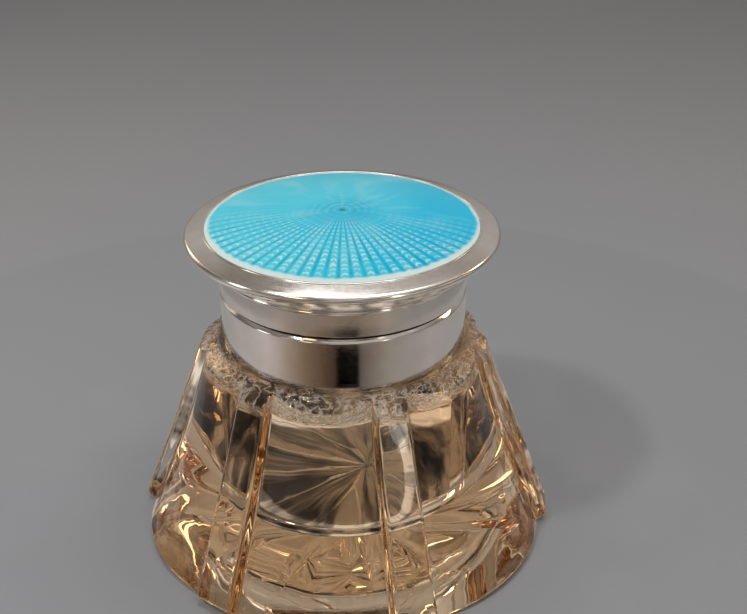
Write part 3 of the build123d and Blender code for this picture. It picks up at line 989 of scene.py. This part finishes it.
def floor_mat(name, reach, stops):
    """Floor ring whose colour turns with the azimuth through (degrees, colour) stops."""
    tree, shader = floor_ring(name, reach)
    x, y, _ = add_node(tree, "SeparateXYZ", {0: object_place(tree)}).outputs
    ramp = add_node(tree, "ValToRGB", {0: azimuth_share(tree, x, y)})
    elements = ramp.color_ramp.elements
    elements[0].color = (*stops[0][1], 1)
    elements[0].position = stops[0][0] / 360 + 0.5
    elements[1].color = (*stops[-1][1], 1)
    elements[1].position = stops[-1][0] / 360 + 0.5
    for degrees, colour in stops[1:-1]:
        elements.new(degrees / 360 + 0.5).color = (*colour, 1)
    tree.links.new(ramp.outputs[0], shader.inputs["Base Color"])


GLINT_PLAIN = (0.28, 0.27, 0.25, 1)
GLINT_BRIGHT = (1.0, 0.98, 0.95, 1)
GLINT_DARK = (0.02, 0.018, 0.015, 1)
CAUSTIC_COLOUR = (1.0, 0.98, 0.96, 1)
CAUSTIC_STRENGTH = 0.45


def caustic_share(tree, streaks, inner, outer):
    """Share of a bright, uneven circle between two radii."""
    x, y, _ = add_node(tree, "SeparateXYZ", {0: object_place(tree)}).outputs
    radius = axis_distance(tree, x, y)
    inside = between(tree, radius, inner - 0.0005, inner, 0.0, 1.0)
    outside = between(tree, radius, outer, outer + 0.0015, 1.0, 0.0)
    circle = math_node(tree, "MULTIPLY", inside, outside)
    return math_node(tree, "MULTIPLY", circle, between(tree, streaks, 0.38, 0.58, 0.2, 1.0))


def glint_mat(name, reach, height, caustic=None):
    """Floor ring with the streaks that light makes as it passes through the glass.

    A caustic is a glowing circle between two radii, where the well's corner gathers the light.
    """
    tree, shader = floor_ring(name, reach, height)
    streaks = cloud(tree, turned_place(tree, 3.4, 45.0), 1.0, 3.0, 0.6)
    bright = between(tree, streaks, 0.48, 0.60, 0.0, 1.0)
    dark = between(tree, streaks, 0.50, 0.40, 0.0, 1.0)
    colour = blend_colours(tree, bright, GLINT_PLAIN, GLINT_BRIGHT)
    tree.links.new(blend_colours(tree, dark, colour, GLINT_DARK), shader.inputs["Base Color"])
    if caustic:
        share = caustic_share(tree, streaks, *caustic)
        glow = blend_colours(tree, share, (0, 0, 0, 1), CAUSTIC_COLOUR)
        tree.links.new(glow, shader.inputs["Emission Color"])
        shader.inputs["Emission Strength"].default_value = CAUSTIC_STRENGTH


def height_ramp(tree, height, colours):
    """Colour that changes from just below the horizon to overhead, through evenly spaced stops."""
    ramp = add_node(tree, "ValToRGB", {0: between(tree, height, -0.1, 1.0, 0.0, 1.0)})
    stops = ramp.color_ramp.elements
    stops[0].color = (*colours[0], 1)
    stops[1].color = (*colours[-1], 1)
    for index, colour in enumerate(colours[1:-1], start=1):
        stops.new(index / (len(colours) - 1)).color = (*colour, 1)
    return ramp.outputs[0]


# The room's colour from just below the horizon to overhead: behind the object, and round the rest.
BACK_WALL = [
    (0.26, 0.24, 0.22), (0.33, 0.31, 0.29), (0.40, 0.375, 0.35), (0.27, 0.245, 0.22), (0.40, 0.38, 0.36),
]
SIDE_WALLS = [
    (0.12, 0.12, 0.12), (0.11, 0.10, 0.09), (0.14, 0.12, 0.11), (0.30, 0.27, 0.25), (0.55, 0.53, 0.50),
]
WINDOW_COLOUR = (0.82, 0.72, 0.60, 1)
UPPER_LEFT_COLOUR = (0.19, 0.165, 0.14, 1)


def make_world():
    """Dim room: a pale wall behind, dark walls with warm patches round the rest, a darker upper left."""
    world = bpy.data.worlds.new("studio")
    world.use_nodes = True
    tree = world.node_tree
    way = add_node(tree, "TexCoord").outputs["Generated"]
    across, depth, height = add_node(tree, "SeparateXYZ", {0: way}).outputs
    behind = between(tree, depth, 0.35, 0.75, 0.0, 1.0)
    windows = between(tree, cloud(tree, way, 3.2, 1.0), 0.52, 0.68, 0.0, 1.0)
    sides = blend_colours(tree, windows, height_ramp(tree, height, SIDE_WALLS), WINDOW_COLOUR)
    room = blend_colours(tree, behind, sides, height_ramp(tree, height, BACK_WALL))
    upper = between(tree, height, 0.58, 0.66, 0.0, 1.0)
    upper_left = math_node(tree, "MULTIPLY", between(tree, across, -0.12, -0.24, 0.0, 1.0), upper)
    room = blend_colours(tree, upper_left, room, UPPER_LEFT_COLOUR)
    tree.links.new(room, tree.nodes["Background"].inputs["Color"])
    bpy.context.scene.world = world


# What the collar and the lid's skirt reflect, by azimuth: the dark camera in a warm, pale room.
COLLAR_MAT = [
    (-120, (0.40, 0.41, 0.43)), (-80, (0.52, 0.51, 0.54)), (-60, (0.60, 0.57, 0.58)),
    (-50, (0.50, 0.46, 0.46)), (-40, (0.38, 0.32, 0.27)), (-25, (0.22, 0.165, 0.12)),
    (-8, (0.11, 0.07, 0.05)), (0, (0.06, 0.04, 0.03)), (2, (0.0, 0.0, 0.0)), (18, (0.0, 0.0, 0.0)),
    (20, (0.13, 0.12, 0.11)), (28, (0.22, 0.19, 0.17)), (44, (0.35, 0.33, 0.31)),
    (85, (0.45, 0.43, 0.46)), (120, (0.40, 0.41, 0.43)),
]
SKIRT_MAT = [
    (-120, (0.31, 0.32, 0.34)), (-60, (0.34, 0.33, 0.32)), (-48, (0.38, 0.33, 0.33)),
    (-30, (0.31, 0.28, 0.25)), (-15, (0.28, 0.24, 0.20)), (15, (0.26, 0.21, 0.18)),
    (30, (0.34, 0.30, 0.25)), (42, (0.42, 0.38, 0.34)), (60, (0.34, 0.34, 0.34)), (120, (0.31, 0.32, 0.34)),
]


def make_lights():
    aim = (0, 0, 0.03)
    area_light("key", (-0.24, -0.22, 0.51), aim, 0.04, 0.04, 0.66, (1.0, 0.98, 0.96))
    area_light("overhead", (0.01, 0.03, 0.37), aim, 0.26, 0.22, 0.40, (0.98, 0.99, 1.0))
    amber = (1.0, 0.74, 0.45)
    area_light("warm_right", (0.30, 0.16, 0.24), aim, 0.08, 0.08, 0.11, amber)
    area_light("warm_left", (-0.30, 0.22, 0.20), aim, 0.08, 0.08, 0.09, amber)
    area_light("warm_front", (-0.16, -0.34, 0.22), aim, 0.07, 0.07, 0.07, amber)
    area_light("rib_window_left", (-0.46, -0.20, 0.17), aim, 0.10, 0.24, 0.20, (1.0, 0.97, 0.93))
    area_light("rib_window_right", (0.34, -0.36, 0.17), aim, 0.05, 0.24, 0.10, (1.0, 0.97, 0.93))
    floor_mat("collar_mat", (0.073, 0.1115), COLLAR_MAT)
    floor_mat("skirt_mat", (0.1115, 0.145), SKIRT_MAT)
    glint_mat("foot_glints", (0.0005, 0.0405), -GAP / 2, caustic=(0.0155, 0.0188))
    glint_mat("floor_glints", (0.0425, 0.0725), 0.4)


def render_settings():
    scene = bpy.context.scene
    scene.view_settings.view_transform = "Standard"
    scene.cycles.use_denoising = True
    scene.cycles.max_bounces = 20
    scene.cycles.transmission_bounces = 20
    scene.cycles.glossy_bounces = 8
    scene.cycles.diffuse_bounces = 3
    scene.cycles.blur_glossy = 0.4
    scene.cycles.sample_clamp_indirect = 6.0


# ==== Assembly ================================================================================
def place_piece(piece, body, slot, material, *nodes):
    piece.data.materials.clear()
    piece.data.materials.append(material)
    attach(piece, body)
    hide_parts(*nodes)


def keep_node(node, width, material):
    piece = soften(node, width)
    piece.data.materials.clear()
    piece.data.materials.append(material)


def build():
    glass = cut_glass()
    band_silver = metal("band_silver", (0.88, 0.85, 0.82), (0.78, 0.73, 0.68), 0.05, 0.14, 0.35)
    rim_silver = metal("rim_silver", (0.96, 0.92, 0.88), (0.87, 0.81, 0.76), 0.12, 0.24, 0.5)
    engraved = metal("engraved_silver", (0.96, 0.96, 0.95), (0.90, 0.90, 0.90), 0.30, 0.42, 0.3)
    # Near-black silver: partly tarnish, and partly painted shade that darkens the seam between the lid's
    # skirt and the collar.
    tarnish_and_seam_shade = metal("tarnish_and_seam_shade_silver", (0.10, 0.085, 0.07), (0.05, 0.04, 0.03), 0.35, 0.5, 0.3)
    gilt = metal("gilt", (0.93, 0.70, 0.36), (0.78, 0.53, 0.26), 0.16, 0.30, 0.6)

    place_piece(make_glass(), "base", "cut_glass", glass, "glass_body")
    place_piece(make_cement(), "base", "plaster", plaster(), "neck_cement")
    place_piece(make_collar_band(), "base", "silver", band_silver, "collar_band")
    place_piece(make_rim_ring(), "base", "silver", band_silver, "collar_rim_ring")
    place_piece(make_skirt(), "lid", "silver", band_silver, "lid_skirt")
    place_piece(make_flange(), "lid", "silver", rim_silver, "lid_flange")
    place_piece(make_bezel(), "lid", "silver", rim_silver, "enamel_bezel")
    place_piece(make_plate(), "lid", "engine_turned_silver", engraved, "guilloche_plate")
    place_piece(make_enamel(), "lid", "enamel", translucent_enamel(), "enamel_disc")
    place_piece(make_liner(), "lid", "gilt", gilt, "lid_liner")
    # The locating ring carries the painted seam shade.
    place_piece(make_locating_ring(), "lid", "silver", tarnish_and_seam_shade, "locating_ring")
    for side in ("left", "right", "middle"):
        node = "hinge_knuckle_" + side
        body = "lid" if side == "middle" else "base"
        place_piece(make_knuckle(node), body, "silver", rim_silver, node)
    place_piece(make_pin(), "base", "silver", rim_silver, "hinge_pin")
    keep_node("collar_hinge_leaf", 0.12, rim_silver)
    keep_node("lid_hinge_leaf", 0.12, rim_silver)


build()
make_floor()
make_world()
make_lights()
make_camera()
render_settings()
